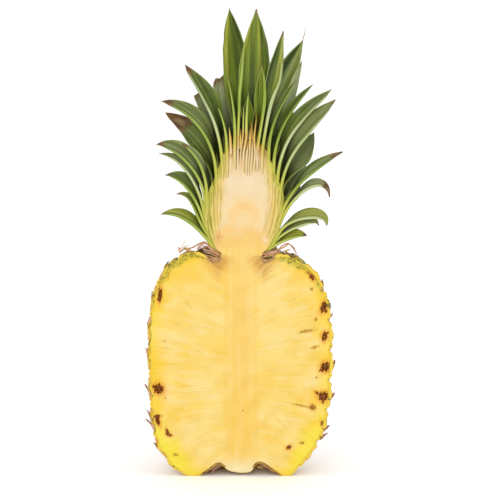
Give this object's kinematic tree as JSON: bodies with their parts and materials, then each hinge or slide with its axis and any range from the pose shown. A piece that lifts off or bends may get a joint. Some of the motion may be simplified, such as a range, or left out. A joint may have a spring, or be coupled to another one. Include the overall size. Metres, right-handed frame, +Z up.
{
  "type": "pineapple half with crown",
  "caption": "Fresh pineapple cut lengthwise through the core, with its leafy crown, standing on its base with the cut face forward.",
  "frame": {"origin": "middle of the underside of the bounding box, on the surface that the fruit stands on", "axes": "+Z up from the base to the crown; the cut face looks along -Y; +X to the right of the cut face"},
  "size_m": [0.1344, 0.0654, 0.3211],
  "materials": {
    "flesh": "moist cut fruit flesh, radial fibres, paler core",
    "rind": "golden rind with domed eyes and dry brown scales",
    "heart": "cream packed leaf bases round a yellow stem, cut lengthwise",
    "leaf": "stiff green leaf, light yellow-green edge, brown dry tip"
  },
  "bodies": {
    "root": {"crown_heart": "heart", "fruit_half": "flesh", "leaf_back_01": "leaf", "leaf_back_02": "leaf", "leaf_back_03": "leaf", "leaf_back_04": "leaf", "leaf_back_05": "leaf", "leaf_back_06": "leaf", "leaf_back_07": "leaf", "leaf_back_08": "leaf", "leaf_back_09": "leaf", "leaf_back_10": "leaf", "leaf_back_11": "leaf", "leaf_back_12": "leaf", "leaf_back_13": "leaf", "leaf_back_14": "leaf", "leaf_back_15": "leaf", "leaf_left_01": "leaf", "leaf_left_02": "leaf", "leaf_left_03": "leaf", "leaf_left_04": "leaf", "leaf_left_05": "leaf", "leaf_left_06": "leaf", "leaf_left_07": "leaf", "leaf_left_08": "leaf", "leaf_left_09": "leaf", "leaf_left_10": "leaf", "leaf_left_11": "leaf", "leaf_left_12": "leaf", "leaf_left_13": "leaf", "leaf_left_14": "leaf", "leaf_middle_01": "leaf", "leaf_middle_02": "leaf", "leaf_middle_03": "leaf", "leaf_middle_04": "leaf", "leaf_right_01": "leaf", "leaf_right_02": "leaf", "leaf_right_03": "leaf", "leaf_right_04": "leaf", "leaf_right_05": "leaf", "leaf_right_06": "leaf", "leaf_right_07": "leaf", "leaf_right_08": "leaf", "leaf_right_09": "leaf", "leaf_right_10": "leaf", "leaf_right_11": "leaf", "leaf_right_12": "leaf", "leaf_right_13": "leaf", "leaf_right_14": "leaf"}
  },
  "joints": []
}
